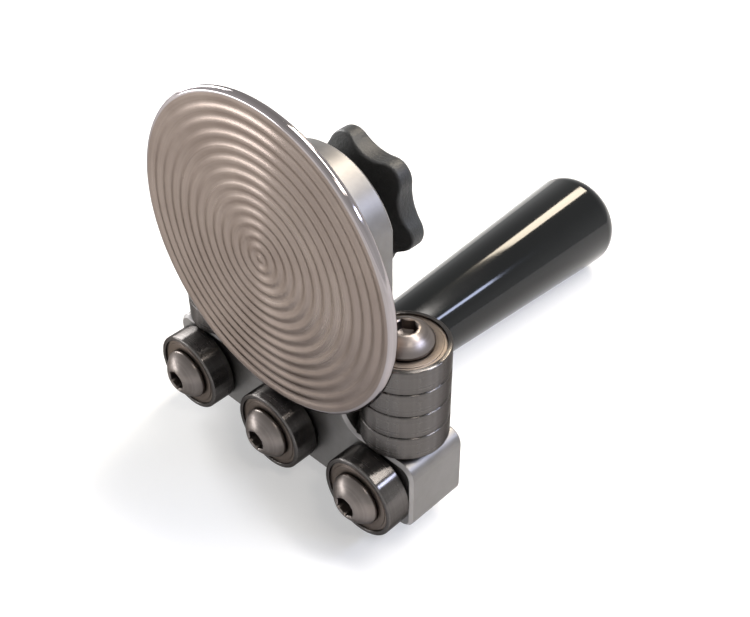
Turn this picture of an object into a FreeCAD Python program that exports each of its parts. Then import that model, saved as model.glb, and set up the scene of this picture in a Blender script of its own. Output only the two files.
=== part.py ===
"""Disc bender for sheet metal, in millimetres, as an assembly of separate pieces.

A flat aluminium body carries a vertical disc in front, three rollers below the disc and
a stack of four rollers at each side. The edge of a sheet lies on the front rollers, under
the rim of the disc, and stands up behind the disc against the two stacks. The star knob
behind clamps the disc at its height, and the tool is pushed along the edge by its handle.

X runs along the front rollers, Y from the disc to the handle and Z upwards.
The origin is the middle of the flat face under the body.
"""
import FreeCAD, Part

import math
import os

V = FreeCAD.Vector

# Ball bearings, all eleven alike
BEARING_OD = 22.0
BEARING_BORE = 8.0
BEARING_WIDTH = 7.0
BALL_D = 3.969
BALL_COUNT = 7
BALL_CIRCLE_D = 15.5
INNER_LAND_D = 12.1
OUTER_LAND_D = 18.6
RACE_GAP = 0.08
RING_CHAMFER = 0.35
RING_RELIEF = 0.05
SHIELD_SEAT_D = 19.5
SHIELD_SEAT_DEPTH = 0.8
SHIELD_T = 0.3
SHIELD_INSET = 0.3
SHIELD_STEP = 0.4
SHIELD_BORE_GAP = 0.3
SHIELD_PRESS_GAP = 0.01
CAGE_WALL = 1.2
CAGE_WIDTH = 5.0
CAGE_BALL_GAP = 0.1

# Body
BASE_WIDTH = 86.0
BASE_HEIGHT = 21.0
BODY_DEPTH = 18.5
BASE_TOP_RADIUS = 4.0
BASE_FOOT_RADIUS = 3.5
UPRIGHT_SIDE_GAP = 1.0
UPRIGHT_TOP_SPARE = 1.0
UPRIGHT_FOOT_RADIUS = 6.0
BODY_CHAMFER = 0.8

# Rollers on the body
ROLLER_HEIGHT = 10.0
ROLLER_SPACER_T = 0.5
STACK_COUNT = 4
STACK_WASHER_T = 1.0
SPACER_OD = 11.6
STACK_POCKET_GAP = 0.6

# Button head screws
SCREW_D = 7.9
SCREW_HEAD_D = 14.0
SCREW_HEAD_H = 4.2
SCREW_RIM_H = 0.7
SCREW_TOP_D = 6.6
SCREW_CROWN_RISE = 0.08
SCREW_HEX = 5.0
SCREW_HEX_DEPTH = 3.0
SCREW_END_CHAMFER = 0.8
ROLLER_SCREW_LENGTH = 16.0
STACK_SCREW_LENGTH = 35.0
THREAD_GAP = 0.05
SCREW_HOLE_SPARE = 0.5

# Disc and what turns with it
DISC_D = 83.0
DISC_T = 2.5
DISC_EDGE_RADIUS = 1.2
DISC_STANDOFF = 2.8
SHEET_GAP = 2.0
WAVE_PITCH = 3.05
WAVE_DEPTH = 0.26
SPINDLE_D = 6.0
SPINDLE_FLANGE_D = 16.0
SPINDLE_FLANGE_T = 1.2
SPINDLE_SEAT_DEPTH = 0.9
SPINDLE_SEAT_GAP = 0.02
SPINDLE_END_CHAMFER = 0.5
RUN_GAP = 0.05
THRUST_GAP = 0.1
THRUST_WASHER_D = 17.0
THRUST_WASHER_T = 0.6
CLIP_D = 10.5
CLIP_T = 0.7
CLIP_GROOVE_D = 5.0
CLIP_GAP = 0.1
CLIP_MOUTH = 4.2
SPINDLE_TAIL = 0.9

# Sleeve in the slot
SLEEVE_D = 12.0
SLEEVE_FLATS = 10.0
SLEEVE_FLANGE_D = 18.0
SLIDE_GAP = 0.05
SLOT_GAP = 0.1
SLOT_DOWN = 1.5
SLOT_UP = 8.0
SLOT_WALL = 4.6
SLEEVE_THREAD_LENGTH = 8.8
CLAMP_WASHER_D = 20.0
CLAMP_WASHER_T = 1.6

# Star knob
KNOB_D = 36.7
KNOB_VALLEY_D = 30.6
KNOB_LOBES = 6
KNOB_LOBE_RADIUS = 5.0
KNOB_LOBE_ANGLE = 47.0
KNOB_GRIP_T = 7.8
KNOB_SLOPE_H = 3.2
KNOB_HUB_D = 21.0
KNOB_HUB_H = 3.3
KNOB_BACK_FILLET = 1.3
KNOB_FRONT_FILLET = 1.0
KNOB_BOSS_D = 22.0
KNOB_BOSS_WALL = 1.5
KNOB_BOSS_FILLET = 0.6
KNOB_INSERT_D = 16.0
KNOB_INSERT_PROUD = 0.1
KNOB_INSERT_FLOOR = 0.8
KNOB_TAIL_GAP = 0.6
KNOB_INSERT_GROOVE = 0.6
MOULD_GAP = 0.01

# Handle
HANDLE_HEIGHT = 9.0
HANDLE_LENGTH = 107.0
HANDLE_NECK_D = 18.0
HANDLE_END_D = 29.0
HANDLE_END_RADIUS = 5.5
HANDLE_NECK_CHAMFER = 0.6
HANDLE_STUD_D = 7.9
HANDLE_STUD_IN_BODY = 7.5
HANDLE_STUD_IN_GRIP = 32.0
HANDLE_STUD_SPARE = 0.5

# Extra length of a cutting shape or a joining shape past the face that it meets
OVERRUN = 1.0

# Two places closer than this count as the same
SAME = 0.001

# The outer rollers are flush with the ends of the base, and the stacks stand behind them
ROLLER_PITCH = (BASE_WIDTH - BEARING_OD) / 2.0
STACK_PITCH = 2.0 * ROLLER_PITCH
UPRIGHT_WIDTH = STACK_PITCH - BEARING_OD - 2.0 * UPRIGHT_SIDE_GAP
UPRIGHT_TOP_RADIUS = UPRIGHT_WIDTH / 2.0 + UPRIGHT_TOP_SPARE

FRONT_Y = -BODY_DEPTH / 2.0
BACK_Y = BODY_DEPTH / 2.0
ROLLER_XS = {"left": -ROLLER_PITCH, "middle": 0.0, "right": ROLLER_PITCH}
STACK_XS = {"left": -STACK_PITCH / 2.0, "right": STACK_PITCH / 2.0}
ROLLER_BACK_Y = FRONT_Y - ROLLER_SPACER_T
STACK_FOOT_Z = BASE_HEIGHT + STACK_WASHER_T
DISC_Z = ROLLER_HEIGHT + BEARING_OD / 2.0 + SHEET_GAP + DISC_D / 2.0

# The slot's round ends leave room for the sleeve's corners at both ends of its travel,
# and the upright ends a wall's thickness above the slot
SLOT_RADIUS = SLEEVE_FLATS / 2.0 + SLOT_GAP
SLEEVE_CORNER_Z = math.sqrt(SLEEVE_D ** 2 - SLEEVE_FLATS ** 2) / 2.0
SLOT_CORNER_Z = math.sqrt(SLOT_RADIUS ** 2 - (SLEEVE_FLATS / 2.0) ** 2)
SLOT_SPARE = SLEEVE_CORNER_Z - SLOT_CORNER_Z + SLOT_GAP
SLOT_LOW_Z = DISC_Z - SLOT_DOWN - SLOT_SPARE
SLOT_HIGH_Z = DISC_Z + SLOT_UP + SLOT_SPARE
UPRIGHT_HEIGHT = SLOT_HIGH_Z + SLOT_RADIUS + SLOT_WALL

DISC_BACK_Y = FRONT_Y - DISC_STANDOFF
SPINDLE_FRONT_Y = DISC_BACK_Y - SPINDLE_SEAT_DEPTH
THRUST_FRONT_Y = SPINDLE_FRONT_Y + SPINDLE_FLANGE_T + THRUST_GAP
SLEEVE_FRONT_Y = THRUST_FRONT_Y + THRUST_WASHER_T + THRUST_GAP
SLEEVE_SEAT_Y = FRONT_Y - SLIDE_GAP
WASHER_FRONT_Y = BACK_Y + SLIDE_GAP
WASHER_BACK_Y = WASHER_FRONT_Y + CLAMP_WASHER_T
SLEEVE_BACK_Y = WASHER_BACK_Y + SLEEVE_THREAD_LENGTH
CLIP_FRONT_Y = SLEEVE_BACK_Y + CLIP_GAP
SPINDLE_BACK_Y = CLIP_FRONT_Y + CLIP_T + SPINDLE_TAIL
INSERT_FRONT_Y = WASHER_BACK_Y + SLIDE_GAP
INSERT_BACK_Y = SPINDLE_BACK_Y + KNOB_TAIL_GAP + KNOB_INSERT_FLOOR
HUB_FRONT_Y = INSERT_FRONT_Y + KNOB_INSERT_PROUD
GRIP_FRONT_Y = HUB_FRONT_Y + KNOB_HUB_H


def lathe(corners):
    """Turn a closed outline of (radius, height) corners about Z into a solid."""
    points = [V(radius, 0.0, height) for radius, height in corners]
    outline = Part.makePolygon(points + points[:1])
    return Part.Face(outline).revolve(V(0, 0, 0), V(0, 0, 1), 360.0)


def tube(outer_d, inner_d, low, high):
    """Plain ring about Z between two heights."""
    inner = inner_d / 2.0
    outer = outer_d / 2.0
    return lathe([(inner, low), (outer, low), (outer, high), (inner, high)])


def rod(diameter, low, high, chamfer=0.0):
    """Round bar about Z with its upper end chamfered."""
    radius = diameter / 2.0
    if chamfer <= 0.0:
        return Part.makeCylinder(radius, high - low, V(0, 0, low))
    return lathe([(0.0, low), (radius, low), (radius, high - chamfer),
                  (radius - chamfer, high), (0.0, high)])


def moved(shape, x, y, z, turn=0.0):
    """Copy a shape built about Z, turned about X and set down at a point."""
    placed = shape.copy()
    placed.Placement = FreeCAD.Placement(V(x, y, z), FreeCAD.Rotation(V(1, 0, 0), turn))
    return placed


def facing_front(shape, x, y, z):
    """Lay a shape down so that its upper end points at the front."""
    return moved(shape, x, y, z, 90.0)


def facing_back(shape, x, y, z):
    """Lay a shape down so that its upper end points at the back."""
    return moved(shape, x, y, z, -90.0)


def race():
    """Space that the balls roll in, a little wider than the balls."""
    return Part.makeTorus(BALL_CIRCLE_D / 2.0, BALL_D / 2.0 + RACE_GAP, V(0, 0, BEARING_WIDTH / 2.0))


def bearing_outer_ring():
    """Outer ring: chamfered rim, a seat for each shield and the ball race."""
    low = RING_RELIEF
    high = BEARING_WIDTH - RING_RELIEF
    rim = BEARING_OD / 2.0
    seat = SHIELD_SEAT_D / 2.0
    land = OUTER_LAND_D / 2.0
    ring = lathe([(seat, low), (rim - RING_CHAMFER, low), (rim, low + RING_CHAMFER),
                  (rim, high - RING_CHAMFER), (rim - RING_CHAMFER, high), (seat, high),
                  (seat, high - SHIELD_SEAT_DEPTH), (land, high - SHIELD_SEAT_DEPTH),
                  (land, low + SHIELD_SEAT_DEPTH), (seat, low + SHIELD_SEAT_DEPTH)])
    return ring.cut(race())


def bearing_inner_ring():
    """Inner ring: chamfered bore and the ball race."""
    bore = BEARING_BORE / 2.0
    land = INNER_LAND_D / 2.0
    ring = lathe([(bore, RING_CHAMFER), (bore + RING_CHAMFER, 0.0), (land, 0.0),
                  (land, BEARING_WIDTH), (bore + RING_CHAMFER, BEARING_WIDTH),
                  (bore, BEARING_WIDTH - RING_CHAMFER)])
    return ring.cut(race())


def bearing_shields():
    """Two pressed steel shields on their seats, each raised towards its middle."""
    floor = RING_RELIEF + SHIELD_SEAT_DEPTH
    web = SHIELD_INSET + SHIELD_T
    edge = SHIELD_SEAT_D / 2.0 - SHIELD_PRESS_GAP
    bend = OUTER_LAND_D / 2.0 - SHIELD_STEP
    bore = INNER_LAND_D / 2.0 + SHIELD_BORE_GAP
    lower = lathe([(bore, SHIELD_INSET), (bend, SHIELD_INSET), (bend, floor - SHIELD_T),
                   (edge, floor - SHIELD_T), (edge, floor), (bend - SHIELD_T, floor),
                   (bend - SHIELD_T, web), (bore, web)])
    upper = lower.mirror(V(0, 0, BEARING_WIDTH / 2.0), V(0, 0, 1))
    return [lower, upper]


def bearing_balls():
    """Balls and the cage that spaces them, as separate solids that roll together."""
    middle = BEARING_WIDTH / 2.0
    cage = tube(BALL_CIRCLE_D + CAGE_WALL, BALL_CIRCLE_D - CAGE_WALL,
                middle - CAGE_WIDTH / 2.0, middle + CAGE_WIDTH / 2.0)
    balls = []
    for index in range(BALL_COUNT):
        angle = 2.0 * math.pi * index / BALL_COUNT
        centre = V(BALL_CIRCLE_D / 2.0 * math.cos(angle), BALL_CIRCLE_D / 2.0 * math.sin(angle), middle)
        balls.append(Part.makeSphere(BALL_D / 2.0, centre))
        cage = cage.cut(Part.makeCylinder(BALL_D / 2.0 + CAGE_BALL_GAP, BALL_CIRCLE_D,
                                          V(0, 0, middle), V(centre.x, centre.y, 0)))
    return balls + [cage]


def button_screw(length):
    """Button head screw, head up, its seat at height zero and its end pointing down."""
    head = SCREW_HEAD_D / 2.0
    shank = SCREW_D / 2.0
    top = SCREW_TOP_D / 2.0
    rim_point = V(head, 0, SCREW_RIM_H)
    top_point = V(top, 0, SCREW_HEAD_H)
    chord = top_point - rim_point
    swell = V(chord.z, 0, -chord.x) * SCREW_CROWN_RISE
    crown = Part.Arc(rim_point, rim_point + chord * 0.5 + swell, top_point).toShape()
    rest = Part.makePolygon([top_point, V(0, 0, SCREW_HEAD_H), V(0, 0, -length),
                             V(shank - SCREW_END_CHAMFER, 0, -length),
                             V(shank, 0, SCREW_END_CHAMFER - length), V(shank, 0, 0),
                             V(head, 0, 0), rim_point])
    outline = Part.Wire([crown] + rest.Edges)
    screw = Part.Face(outline).revolve(V(0, 0, 0), V(0, 0, 1), 360.0)
    corner = SCREW_HEX / math.sqrt(3.0)
    corners = [V(corner * math.cos(math.radians(60 * k)), corner * math.sin(math.radians(60 * k)),
                 SCREW_HEAD_H - SCREW_HEX_DEPTH) for k in range(7)]
    socket = Part.Face(Part.makePolygon(corners)).extrude(V(0, 0, SCREW_HEX_DEPTH + OVERRUN))
    return screw.cut(socket)


def body():
    """Base bar and upright in one piece of plate, with its slot, holes and roller pockets."""
    half = BASE_WIDTH / 2.0
    side = UPRIGHT_WIDTH / 2.0
    foot = BASE_FOOT_RADIUS
    shoulder = BASE_TOP_RADIUS
    root = UPRIGHT_FOOT_RADIUS
    arc_z = UPRIGHT_HEIGHT - UPRIGHT_TOP_RADIUS
    kink_z = arc_z + math.sqrt(UPRIGHT_TOP_RADIUS ** 2 - side ** 2)
    bend = math.sqrt(0.5)

    def at(x, z):
        return V(x, FRONT_Y, z)

    right = [
        Part.Arc(at(half - foot, 0), at(half - foot + foot * bend, foot - foot * bend),
                 at(half, foot)).toShape(),
        Part.makeLine(at(half, foot), at(half, BASE_HEIGHT - shoulder)),
        Part.Arc(at(half, BASE_HEIGHT - shoulder),
                 at(half - shoulder + shoulder * bend, BASE_HEIGHT - shoulder + shoulder * bend),
                 at(half - shoulder, BASE_HEIGHT)).toShape(),
        Part.makeLine(at(half - shoulder, BASE_HEIGHT), at(side + root, BASE_HEIGHT)),
        Part.Arc(at(side + root, BASE_HEIGHT),
                 at(side + root - root * bend, BASE_HEIGHT + root - root * bend),
                 at(side, BASE_HEIGHT + root)).toShape(),
        Part.makeLine(at(side, BASE_HEIGHT + root), at(side, kink_z)),
    ]
    left = [edge.mirror(V(0, 0, 0), V(1, 0, 0)) for edge in right]
    top = Part.Arc(at(side, kink_z), at(0, UPRIGHT_HEIGHT), at(-side, kink_z)).toShape()
    under = Part.makeLine(at(foot - half, 0), at(half - foot, 0))
    outline = Part.Wire(Part.__sortEdges__(right + left + [top, under]))
    plate = Part.Face(outline).extrude(V(0, BODY_DEPTH, 0))
    rims = [edge for edge in plate.Edges
            if abs(edge.BoundBox.YMax - edge.BoundBox.YMin) < SAME]
    plate = plate.makeChamfer(BODY_CHAMFER, rims)

    for x in STACK_XS.values():
        pocket = Part.makeCylinder(BEARING_OD / 2.0 + STACK_POCKET_GAP, UPRIGHT_HEIGHT,
                                   V(x, 0, BASE_HEIGHT))
        plate = plate.cut(pocket)
        depth = STACK_SCREW_LENGTH - stack_height() + SCREW_HOLE_SPARE
        plate = plate.cut(Part.makeCylinder(SCREW_D / 2.0 + THREAD_GAP, depth,
                                            V(x, 0, BASE_HEIGHT - depth)))
    for x in ROLLER_XS.values():
        depth = ROLLER_SCREW_LENGTH - BEARING_WIDTH - ROLLER_SPACER_T + SCREW_HOLE_SPARE
        plate = plate.cut(Part.makeCylinder(SCREW_D / 2.0 + THREAD_GAP, depth,
                                            V(x, FRONT_Y, ROLLER_HEIGHT), V(0, 1, 0)))
    depth = HANDLE_STUD_IN_BODY + HANDLE_STUD_SPARE
    plate = plate.cut(Part.makeCylinder(HANDLE_STUD_D / 2.0 + THREAD_GAP, depth,
                                        V(0, BACK_Y, HANDLE_HEIGHT), V(0, -1, 0)))
    return plate.cut(slot())


def slot():
    """Upright slot with round ends, as long as the travel of the sleeve needs."""
    ends = [Part.makeCylinder(SLOT_RADIUS, BODY_DEPTH, V(0, FRONT_Y, z), V(0, 1, 0))
            for z in (SLOT_LOW_Z, SLOT_HIGH_Z)]
    middle = Part.makeBox(2.0 * SLOT_RADIUS, BODY_DEPTH, SLOT_HIGH_Z - SLOT_LOW_Z,
                          V(-SLOT_RADIUS, FRONT_Y, SLOT_LOW_Z))
    return middle.fuse(ends)


def stack_height():
    """Height of a stack's washer and bearings together."""
    return STACK_WASHER_T + STACK_COUNT * BEARING_WIDTH


def disc():
    """Disc with as many turned waves as fit its front, a rounded edge and its spindle's seat."""
    radius = DISC_D / 2.0
    edge = DISC_EDGE_RADIUS
    bend = math.sqrt(0.5)
    flat = radius - edge
    edges = []
    middle = V(0, 0, DISC_T)
    point = middle
    for index in range(math.floor(flat / WAVE_PITCH)):
        outer = V((index + 1) * WAVE_PITCH, 0, DISC_T)
        trough = V(outer.x - WAVE_PITCH / 2.0, 0, DISC_T - WAVE_DEPTH)
        edges.append(Part.Arc(point, trough, outer).toShape())
        point = outer
    front_edge = V(flat, 0, DISC_T)
    side_high = V(radius, 0, DISC_T - edge)
    side_low = V(radius, 0, edge)
    back_edge = V(flat, 0, 0)
    edges.append(Part.makeLine(point, front_edge))
    edges.append(Part.Arc(front_edge, V(flat + edge * bend, 0, DISC_T - edge + edge * bend),
                          side_high).toShape())
    edges.append(Part.makeLine(side_high, side_low))
    edges.append(Part.Arc(side_low, V(flat + edge * bend, 0, edge - edge * bend), back_edge).toShape())
    seat = (SPINDLE_FLANGE_D / 2.0) + SPINDLE_SEAT_GAP
    behind = [back_edge, V(seat, 0, 0), V(seat, 0, SPINDLE_SEAT_DEPTH), V(0, 0, SPINDLE_SEAT_DEPTH),
              middle]
    edges.extend(Part.makePolygon(behind).Edges)
    plate = Part.Face(Part.Wire(edges)).revolve(V(0, 0, 0), V(0, 0, 1), 360.0)
    return facing_front(plate, 0, DISC_BACK_Y, DISC_Z)


def disc_spindle():
    """Flanged spindle let into the back of the disc, with a groove for its clip."""
    tip = SPINDLE_BACK_Y - SPINDLE_FRONT_Y
    clip_low = CLIP_FRONT_Y - SPINDLE_FRONT_Y - CLIP_GAP / 2.0
    clip_high = clip_low + CLIP_T + CLIP_GAP
    shaft = SPINDLE_D / 2.0
    groove = CLIP_GROOVE_D / 2.0
    spindle = lathe([(0.0, 0.0), (SPINDLE_FLANGE_D / 2.0, 0.0),
                     (SPINDLE_FLANGE_D / 2.0, SPINDLE_FLANGE_T), (shaft, SPINDLE_FLANGE_T),
                     (shaft, clip_low), (groove, clip_low), (groove, clip_high),
                     (shaft, clip_high), (shaft, tip - SPINDLE_END_CHAMFER),
                     (shaft - SPINDLE_END_CHAMFER, tip), (0.0, tip)])
    return facing_back(spindle, 0, SPINDLE_FRONT_Y, DISC_Z)


def spindle_clip():
    """Snap ring in the spindle's groove, open on one side."""
    clip = tube(CLIP_D, CLIP_GROOVE_D + CLIP_GAP, 0.0, CLIP_T)
    mouth = Part.makeBox(CLIP_MOUTH, CLIP_D, CLIP_T + 2.0 * OVERRUN,
                         V(-CLIP_MOUTH / 2.0, 0, -OVERRUN))
    return facing_back(clip.cut(mouth), 0, CLIP_FRONT_Y, DISC_Z)


def thrust_washer():
    """Plastic washer between the spindle's flange and the sleeve."""
    washer = tube(THRUST_WASHER_D, SPINDLE_D + 2.0 * THRUST_GAP, 0.0, THRUST_WASHER_T)
    return facing_back(washer, 0, THRUST_FRONT_Y, DISC_Z)


def slide_sleeve():
    """Flanged sleeve that the spindle turns in, with two flats that keep it square in the slot."""
    seat = SLEEVE_SEAT_Y - SLEEVE_FRONT_Y
    length = SLEEVE_BACK_Y - SLEEVE_FRONT_Y
    barrel = Part.makeCylinder(SLEEVE_D / 2.0, length)
    flats = Part.makeBox(SLEEVE_FLATS, 2.0 * SLEEVE_D, length, V(-SLEEVE_FLATS / 2.0, -SLEEVE_D, 0))
    flange = Part.makeCylinder(SLEEVE_FLANGE_D / 2.0, seat)
    bore = Part.makeCylinder(SPINDLE_D / 2.0 + RUN_GAP, length)
    sleeve = barrel.common(flats).fuse(flange).cut(bore)
    return facing_back(sleeve.removeSplitter(), 0, SLEEVE_FRONT_Y, DISC_Z)


def clamp_washer():
    """Steel washer between the star knob and the back of the upright."""
    washer = tube(CLAMP_WASHER_D, SLEEVE_D + 2.0 * SLOT_GAP, 0.0, CLAMP_WASHER_T)
    return facing_back(washer, 0, WASHER_FRONT_Y, DISC_Z)


def knob_insert():
    """Brass insert, blind, with a ring groove that holds it in the knob."""
    length = INSERT_BACK_Y - INSERT_FRONT_Y
    radius = KNOB_INSERT_D / 2.0
    bore = SLEEVE_D / 2.0 + RUN_GAP
    floor = length - KNOB_INSERT_FLOOR
    waist = radius - KNOB_INSERT_GROOVE
    third = length / 3.0
    insert = lathe([(bore, 0.0), (radius, 0.0), (radius, third), (waist, third + KNOB_INSERT_GROOVE),
                    (waist, 2.0 * third - KNOB_INSERT_GROOVE), (radius, 2.0 * third),
                    (radius, length), (0.0, length), (0.0, floor), (bore, floor)])
    return facing_back(insert, 0, INSERT_FRONT_Y, DISC_Z)


def insert_seat():
    """Space that the brass insert fills in the moulded knob."""
    length = INSERT_BACK_Y - INSERT_FRONT_Y
    radius = KNOB_INSERT_D / 2.0 + MOULD_GAP
    waist = radius - KNOB_INSERT_GROOVE
    third = length / 3.0
    seat = lathe([(0.0, 0.0), (radius, 0.0), (radius, third), (waist, third + KNOB_INSERT_GROOVE),
                  (waist, 2.0 * third - KNOB_INSERT_GROOVE), (radius, 2.0 * third),
                  (radius, length + MOULD_GAP), (0.0, length + MOULD_GAP)])
    return facing_back(seat, 0, INSERT_FRONT_Y, DISC_Z)


def star_outline():
    """Star of round lobes joined by hollow arcs, each tangent to its neighbours."""
    lobe = KNOB_LOBE_RADIUS
    lobe_at = KNOB_D / 2.0 - lobe
    valley = KNOB_VALLEY_D / 2.0
    half_step = math.pi / KNOB_LOBES
    reach = lobe_at * math.cos(half_step)
    hollow = ((lobe_at ** 2 + valley ** 2 - 2.0 * valley * reach - lobe ** 2)
              / (2.0 * (lobe + reach - valley)))
    hollow_at = valley + hollow
    spread = math.atan2(hollow_at * math.sin(half_step), hollow_at * math.cos(half_step) - lobe_at)
    edges = []
    for index in range(KNOB_LOBES):
        middle = math.radians(KNOB_LOBE_ANGLE) + 2.0 * half_step * index
        centre = V(lobe_at * math.cos(middle), lobe_at * math.sin(middle), 0)
        start, tip, end = [centre + V(math.cos(middle + turn), math.sin(middle + turn), 0) * lobe
                           for turn in (-spread, 0.0, spread)]
        edges.append(Part.Arc(start, tip, end).toShape())
        between = middle + half_step
        dip = V(valley * math.cos(between), valley * math.sin(between), 0)
        following = middle + 2.0 * half_step
        next_centre = V(lobe_at * math.cos(following), lobe_at * math.sin(following), 0)
        next_start = next_centre + V(math.cos(following - spread), math.sin(following - spread), 0) * lobe
        edges.append(Part.Arc(end, dip, next_start).toShape())
    return Part.Wire(edges)


def knob_grip():
    """Moulded star knob: sloped front, hub towards the upright, boss behind, insert's seat."""
    tip = KNOB_D / 2.0
    hub = KNOB_HUB_D / 2.0
    star = Part.Face(star_outline()).extrude(V(0, 0, KNOB_GRIP_T))
    back = [edge for edge in star.Edges if edge.BoundBox.ZMin > KNOB_GRIP_T - SAME]
    star = star.makeFillet(KNOB_BACK_FILLET, back)
    slope = lathe([(0.0, 0.0), (hub, 0.0), (tip, KNOB_SLOPE_H), (tip + OVERRUN, KNOB_SLOPE_H),
                   (tip + OVERRUN, KNOB_GRIP_T + OVERRUN), (0.0, KNOB_GRIP_T + OVERRUN)])
    star = star.common(slope)
    front = [edge for edge in star.Edges
             if all(end.Z < KNOB_SLOPE_H + SAME and math.hypot(end.X, end.Y) > KNOB_VALLEY_D / 2.0 - SAME
                    for end in edge.Vertexes)]
    star = star.makeFillet(KNOB_FRONT_FILLET, front)
    placed = star.mirror(V(0, 0, 0), V(0, 1, 0))
    placed = facing_back(placed, 0, GRIP_FRONT_Y, DISC_Z)
    hub_part = facing_back(Part.makeCylinder(hub, KNOB_HUB_H + OVERRUN), 0, HUB_FRONT_Y, DISC_Z)
    boss = Part.makeCylinder(KNOB_BOSS_D / 2.0, INSERT_BACK_Y + KNOB_BOSS_WALL - GRIP_FRONT_Y - OVERRUN)
    rim = [edge for edge in boss.Edges if edge.BoundBox.ZMin > boss.BoundBox.ZMax - SAME]
    boss = boss.makeFillet(KNOB_BOSS_FILLET, rim)
    boss = facing_back(boss, 0, GRIP_FRONT_Y + OVERRUN, DISC_Z)
    return placed.fuse([hub_part, boss]).cut(insert_seat()).removeSplitter()


def handle_grip():
    """Tapered handle, thickest at its rounded end, bored for its stud."""
    neck = HANDLE_NECK_D / 2.0
    end = HANDLE_END_D / 2.0
    rounding = HANDLE_END_RADIUS
    lean = math.atan2(end - neck, HANDLE_LENGTH - rounding)
    centre = V(end - rounding, 0, HANDLE_LENGTH - rounding)
    side_end = centre + V(math.cos(lean), 0, -math.sin(lean)) * rounding
    middle = math.pi / 4.0 - lean / 2.0
    bulge = centre + V(math.cos(middle), 0, math.sin(middle)) * rounding
    top = centre + V(0, 0, rounding)
    edges = Part.makePolygon([V(0, 0, 0), V(neck - HANDLE_NECK_CHAMFER, 0, 0),
                              V(neck, 0, HANDLE_NECK_CHAMFER), side_end]).Edges
    edges.append(Part.Arc(side_end, bulge, top).toShape())
    edges.extend(Part.makePolygon([top, V(0, 0, HANDLE_LENGTH), V(0, 0, 0)]).Edges)
    grip = Part.Face(Part.Wire(edges)).revolve(V(0, 0, 0), V(0, 0, 1), 360.0)
    bore = Part.makeCylinder(HANDLE_STUD_D / 2.0 + THREAD_GAP, HANDLE_STUD_IN_GRIP + HANDLE_STUD_SPARE)
    return facing_back(grip.cut(bore), 0, BACK_Y, HANDLE_HEIGHT)


def handle_stud():
    """Threaded stud that joins the handle to the body."""
    stud = rod(HANDLE_STUD_D, -HANDLE_STUD_IN_BODY, HANDLE_STUD_IN_GRIP, SCREW_END_CHAMFER)
    return facing_back(stud, 0, BACK_Y, HANDLE_HEIGHT)


def write(name, solids):
    """Write one node of one or more separate solids."""
    shape = solids[0] if len(solids) == 1 else Part.makeCompound(solids)
    for solid in shape.Solids:
        assert solid.isValid(), name
    shape.exportStep("parts/" + name + ".step")


def write_bearing(name, place):
    """Write the turning pieces of one bearing, set down by a placing function."""
    write(name + "_outer_ring", [place(bearing_outer_ring())])
    write(name + "_shields", [place(shield) for shield in bearing_shields()])
    write(name + "_balls", [place(piece) for piece in bearing_balls()])


def write_front_rollers():
    """Write the three rollers under the disc with their rings, screws and spacers."""
    inner_rings = []
    screws = []
    spacers = []
    for name, x in ROLLER_XS.items():
        def place(shape, x=x, y=ROLLER_BACK_Y):
            return facing_front(shape, x, y, ROLLER_HEIGHT)
        write_bearing("front_roller_" + name, place)
        inner_rings.append(place(bearing_inner_ring()))
        screws.append(place(button_screw(ROLLER_SCREW_LENGTH), x, ROLLER_BACK_Y - BEARING_WIDTH))
        spacers.append(place(tube(SPACER_OD, BEARING_BORE + RING_CHAMFER, -ROLLER_SPACER_T, 0.0)))
    write("front_roller_inner_rings", inner_rings)
    write("front_roller_screws", screws)
    write("front_roller_spacers", spacers)


def write_side_stacks():
    """Write the two stacks of rollers with their rings, screws and washers."""
    screws = []
    washers = []
    for side, x in STACK_XS.items():
        inner_rings = []
        for level in range(STACK_COUNT):
            z = STACK_FOOT_Z + level * BEARING_WIDTH
            def place(shape, x=x, z=z):
                return moved(shape, x, 0, z)
            write_bearing(side + "_stack_roller_" + str(level + 1), place)
            inner_rings.append(place(bearing_inner_ring()))
        write(side + "_stack_inner_rings", inner_rings)
        screws.append(moved(button_screw(STACK_SCREW_LENGTH), x, 0, BASE_HEIGHT + stack_height()))
        washers.append(moved(tube(SPACER_OD, BEARING_BORE + RING_CHAMFER, 0.0, STACK_WASHER_T),
                             x, 0, BASE_HEIGHT))
    write("stack_screws", screws)
    write("stack_washers", washers)


def main():
    """Write every node of the tool."""
    os.makedirs("parts", exist_ok=True)
    write("body", [body()])
    write("handle_grip", [handle_grip()])
    write("handle_stud", [handle_stud()])
    write("disc", [disc()])
    write("disc_spindle", [disc_spindle()])
    write("spindle_clip", [spindle_clip()])
    write("thrust_washer", [thrust_washer()])
    write("slide_sleeve", [slide_sleeve()])
    write("clamp_washer", [clamp_washer()])
    write("knob_grip", [knob_grip()])
    write("knob_insert", [knob_insert()])
    write_front_rollers()
    write_side_stacks()


main()
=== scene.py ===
"""Looks of a hand-held disc bender for sheet metal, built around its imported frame.

Sizes are in millimetres and are turned to metres when a mesh is made. X runs along the
front rollers, Y from the disc to the handle and Z upwards. The origin is the middle of
the flat face under the body.
"""

import logging
import math
from dataclasses import dataclass, field
from enum import Enum
from typing import Any, ClassVar, Sequence

import bmesh
import bpy
import numpy as np
from mathutils import Matrix, Vector


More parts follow.
